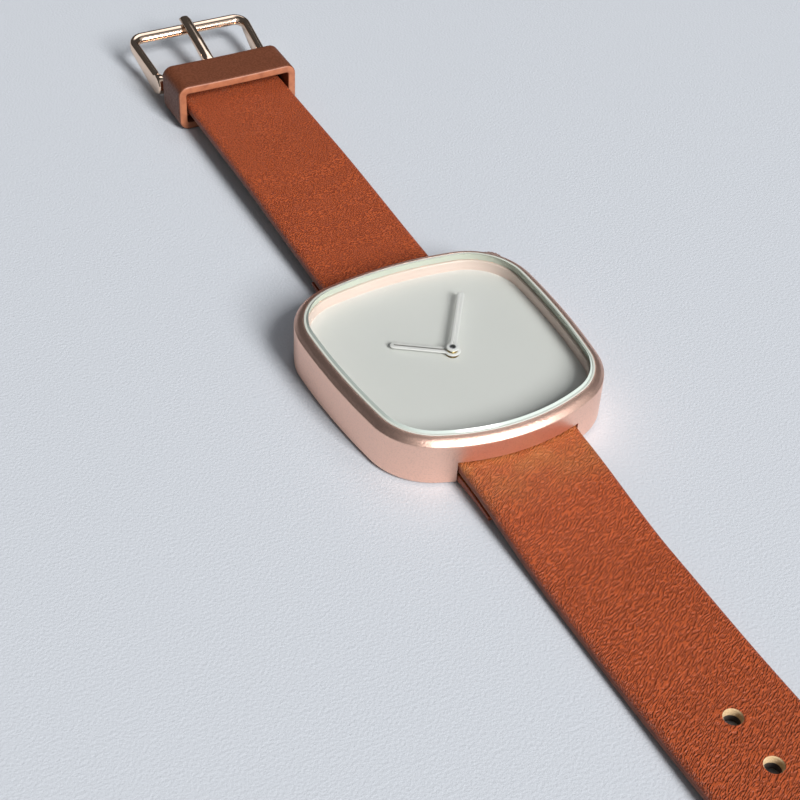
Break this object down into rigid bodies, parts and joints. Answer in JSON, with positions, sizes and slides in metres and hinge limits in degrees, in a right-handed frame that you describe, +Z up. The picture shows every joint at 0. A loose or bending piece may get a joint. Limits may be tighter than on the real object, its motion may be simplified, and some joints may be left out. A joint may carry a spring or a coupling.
{
  "type": "square wristwatch",
  "caption": "Square cushion-cased quartz wristwatch with plain dial, two stick hands, corner crown, leather strap, keeper loop and tang buckle.",
  "frame": {"origin": "centre of the case back's flat face, on the table, below the hands' axis", "axes": "+X towards 3 o'clock, +Y towards 12 o'clock along the buckle strap, +Z up out of the dial"},
  "size_m": [0.0411, 0.2449, 0.0089],
  "materials": {
    "case_metal": "matt",
    "buckle_metal": "polished",
    "steel": "satin",
    "brass": "satin",
    "copper_wire": "satin",
    "crystal_glass": "polished",
    "dial_paint": "matt",
    "hand_metal": "satin",
    "rehaut_paint": "satin",
    "pale_seal": "satin",
    "black_rubber": "matt",
    "holder_plastic": "matt",
    "board": "satin",
    "battery_steel": "satin",
    "strap_leather": "grained",
    "lining_leather": "suede",
    "keeper_leather": "grained"
  },
  "bodies": {
    "case_body": {"case": "case_metal", "crystal": "crystal_glass", "crystal_gasket": "pale_seal", "rehaut_ring": "rehaut_paint", "dial": "dial_paint", "case_back": "case_metal", "case_back_gasket": "black_rubber", "crown_tube": "case_metal", "movement_holder": "holder_plastic", "main_plate": "steel", "train_bridge": "brass", "bridge_screws": "steel", "battery": "battery_steel", "battery_clamp": "steel", "circuit_board": "board", "quartz_oscillator": "battery_steel", "coil": "copper_wire", "stator": "steel", "hour_wheel_washer": "brass", "spring_bar_12": "steel", "spring_bar_6": "steel"},
    "minute_body": {"minute_hand": "hand_metal", "cannon_pinion": "steel"},
    "hour_body": {"hour_hand": "hand_metal", "hour_wheel": "brass"},
    "minute_wheel_body": {"minute_wheel": "brass"},
    "setting_wheel_body": {"setting_wheel": "steel"},
    "rotor_body": {"rotor": "steel"},
    "intermediate_body": {"intermediate_wheel": "brass"},
    "third_body": {"third_wheel": "brass"},
    "centre_body": {"centre_wheel": "brass"},
    "crown_slide_body": {"crown_gasket": "black_rubber"},
    "crown_body": {"crown": "case_metal", "winding_stem": "steel"},
    "pinion_body": {"sliding_pinion": "steel"},
    "lever_body": {"setting_lever": "steel"},
    "yoke_body": {"yoke": "steel"},
    "strap_12_body": {"strap_12_upper": "strap_leather", "strap_12_lining": "lining_leather"},
    "strap_6_body": {"strap_6_upper": "strap_leather", "strap_6_lining": "lining_leather"},
    "keeper_body": {"keeper_loop": "keeper_leather"},
    "buckle_body": {"buckle_frame": "buckle_metal", "buckle_bar": "steel"},
    "tang_body": {"buckle_tang": "buckle_metal"},
    "bar_12_pin_3_body": {"bar_12_pin_3": "steel"},
    "bar_12_pin_9_body": {"bar_12_pin_9": "steel"},
    "bar_6_pin_3_body": {"bar_6_pin_3": "steel"},
    "bar_6_pin_9_body": {"bar_6_pin_9": "steel"},
    "buckle_pin_3_body": {"buckle_pin_3": "steel"},
    "buckle_pin_9_body": {"buckle_pin_9": "steel"}
  },
  "joints": [
    {"name": "minute_hand_turn", "type": "hinge", "parent": "case_body", "child": "minute_body", "pos_m": [0, 0, 0.004], "axis": [0, 0, -1], "continuous": true},
    {"name": "hour_hand_turn", "type": "hinge", "parent": "case_body", "child": "hour_body", "pos_m": [0, 0, 0.004], "axis": [0, 0, -1], "continuous": true},
    {"name": "minute_wheel_turn", "type": "hinge", "parent": "case_body", "child": "minute_wheel_body", "pos_m": [0.00196, 0.00211, 0.004], "axis": [0, 0, -1], "continuous": true},
    {"name": "setting_wheel_turn", "type": "hinge", "parent": "case_body", "child": "setting_wheel_body", "pos_m": [0.00409, 0.00439, 0.004], "axis": [0, 0, -1], "continuous": true},
    {"name": "rotor_turn", "type": "hinge", "parent": "case_body", "child": "rotor_body", "pos_m": [0.00388, -0.00287, 0.004], "axis": [0, 0, -1], "continuous": true},
    {"name": "intermediate_turn", "type": "hinge", "parent": "case_body", "child": "intermediate_body", "pos_m": [0.00257, -0.00427, 0.004], "axis": [0, 0, -1], "continuous": true},
    {"name": "third_turn", "type": "hinge", "parent": "case_body", "child": "third_body", "pos_m": [-0.0005, -0.00357, 0.004], "axis": [0, 0, -1], "continuous": true},
    {"name": "centre_turn", "type": "hinge", "parent": "case_body", "child": "centre_body", "pos_m": [0, 0, 0.004], "axis": [0, 0, -1], "continuous": true},
    {"name": "crown_pull", "type": "slide", "parent": "case_body", "child": "crown_slide_body", "axis": [0.682, 0.7314, 0], "range_m": [0, 0.0008]},
    {"name": "crown_turn", "type": "hinge", "parent": "crown_slide_body", "child": "crown_body", "pos_m": [0, 0, 0.0034], "axis": [0.682, 0.7314, 0], "continuous": true},
    {"name": "sliding_pinion_slide", "type": "slide", "parent": "crown_body", "child": "pinion_body", "axis": [0.682, 0.7314, 0], "range_m": [-0.0013, 0]},
    {"name": "setting_lever_turn", "type": "hinge", "parent": "case_body", "child": "lever_body", "pos_m": [0.00295, 0.00668, 0.0034], "axis": [0, 0, 1], "range_deg": [0, 22.85]},
    {"name": "yoke_turn", "type": "hinge", "parent": "case_body", "child": "yoke_body", "pos_m": [0.0052, 0.00206, 0.0034], "axis": [0, 0, 1], "range_deg": [0, 16.55]},
    {"name": "strap_12_hinge", "type": "hinge", "parent": "case_body", "child": "strap_12_body", "pos_m": [0, 0.0185, 0.00215], "axis": [1, 0, 0], "range_deg": [-75, 4]},
    {"name": "strap_6_hinge", "type": "hinge", "parent": "case_body", "child": "strap_6_body", "pos_m": [0, -0.0185, 0.00215], "axis": [1, 0, 0], "range_deg": [-4, 75]},
    {"name": "keeper_slide", "type": "slide", "parent": "strap_12_body", "child": "keeper_body", "axis": [0, -1, 0], "range_m": [0, 0.02]},
    {"name": "buckle_hinge", "type": "hinge", "parent": "strap_12_body", "child": "buckle_body", "pos_m": [0, 0.0952, 0.00325], "axis": [1, 0, 0], "range_deg": [-60, 30]},
    {"name": "tang_hinge", "type": "hinge", "parent": "buckle_body", "child": "tang_body", "pos_m": [0, 0.0952, 0.00325], "axis": [1, 0, 0], "range_deg": [0, 70]},
    {"name": "bar_12_pin_3_press", "type": "slide", "parent": "case_body", "child": "bar_12_pin_3_body", "axis": [-1, 0, 0], "range_m": [0, 0.0009], "stiffness_N_per_m": 200},
    {"name": "bar_12_pin_9_press", "type": "slide", "parent": "case_body", "child": "bar_12_pin_9_body", "axis": [1, 0, 0], "range_m": [0, 0.0009], "stiffness_N_per_m": 200},
    {"name": "bar_6_pin_3_press", "type": "slide", "parent": "case_body", "child": "bar_6_pin_3_body", "axis": [-1, 0, 0], "range_m": [0, 0.0009], "stiffness_N_per_m": 200},
    {"name": "bar_6_pin_9_press", "type": "slide", "parent": "case_body", "child": "bar_6_pin_9_body", "axis": [1, 0, 0], "range_m": [0, 0.0009], "stiffness_N_per_m": 200},
    {"name": "buckle_pin_3_press", "type": "slide", "parent": "buckle_body", "child": "buckle_pin_3_body", "axis": [-1, 0, 0], "range_m": [0, 0.0009], "stiffness_N_per_m": 200},
    {"name": "buckle_pin_9_press", "type": "slide", "parent": "buckle_body", "child": "buckle_pin_9_body", "axis": [1, 0, 0], "range_m": [0, 0.0009], "stiffness_N_per_m": 200}
  ],
  "couplings": [
    {"joint": "hour_hand_turn", "follows": "minute_hand_turn", "ratio": 0.083333},
    {"joint": "minute_wheel_turn", "follows": "minute_hand_turn", "ratio": -0.33333},
    {"joint": "setting_wheel_turn", "follows": "minute_hand_turn", "ratio": 0.75},
    {"joint": "intermediate_turn", "follows": "rotor_turn", "ratio": -0.33333},
    {"joint": "third_turn", "follows": "rotor_turn", "ratio": 0.055556},
    {"joint": "centre_turn", "follows": "rotor_turn", "ratio": -0.011111},
    {"joint": "sliding_pinion_slide", "follows": "crown_pull", "ratio": -1.625},
    {"joint": "setting_lever_turn", "follows": "crown_pull", "rad_per_m": 498.34},
    {"joint": "yoke_turn", "follows": "crown_pull", "rad_per_m": 360.85}
  ]
}
